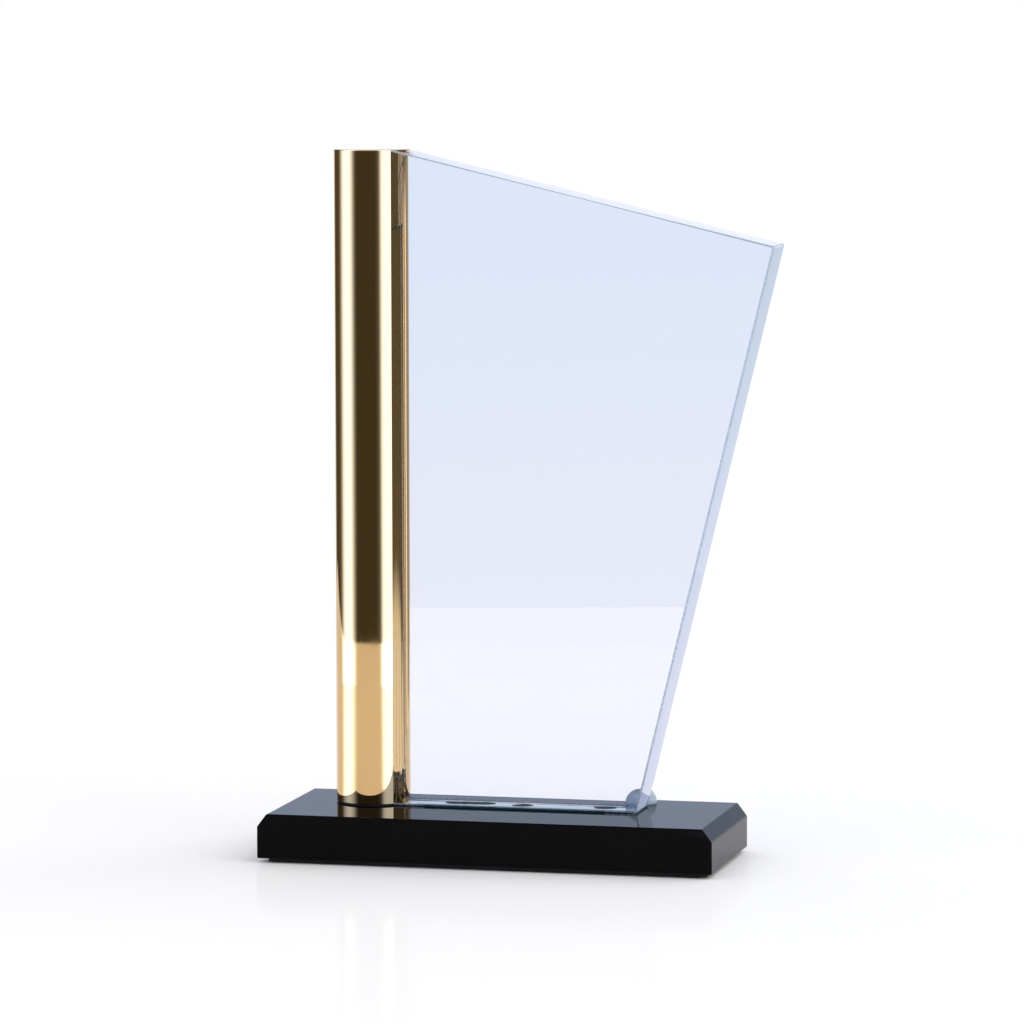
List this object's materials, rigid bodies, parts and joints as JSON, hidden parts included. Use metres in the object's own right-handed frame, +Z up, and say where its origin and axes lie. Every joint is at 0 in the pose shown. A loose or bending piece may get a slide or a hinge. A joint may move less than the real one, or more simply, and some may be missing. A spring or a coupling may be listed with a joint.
{
  "type": "column trophy",
  "caption": "Award with a clear crystal plate, its outer edge leaning out and its top sloping, held against a polished gold column on a black crystal base with chamfered ends.",
  "frame": {"origin": "centre of the base's footprint, on the surface that the trophy stands on", "axes": "+X along the base from the column towards the plate's free edge, +Y to the back, +Z up the column"},
  "size_m": [0.1645, 0.058, 0.2295],
  "materials": {
    "black_crystal": "solid black, polished to a mirror gloss",
    "foam_pad": "matt closed-cell foam",
    "tape": "thin adhesive film",
    "clear_crystal": "clear, very slightly blue, polished all over",
    "gold_plate": "mirror-polished gold plating",
    "plain_brass": "turned, unpolished",
    "gasket_rubber": "matt black",
    "clear_adhesive": "clear cured adhesive film",
    "foot_adhesive": "clear adhesive that shows the black base through it",
    "clear_bumper": "clear, smooth and domed",
    "zinc_steel": "zinc plated",
    "nylon": "natural white"
  },
  "bodies": {
    "root": {"base_block": "black_crystal", "base_pad": "foam_pad", "pad_tape": "tape", "crystal_plate": "clear_crystal", "column_tube": "gold_plate", "column_top_cap": "gold_plate", "column_foot_plug": "plain_brass", "column_gasket": "gasket_rubber", "column_bond": "clear_adhesive", "foot_bond": "foot_adhesive", "corner_bumper": "clear_bumper", "column_screw": "zinc_steel", "flat_washer": "zinc_steel", "cushion_washer": "nylon"}
  },
  "joints": []
}
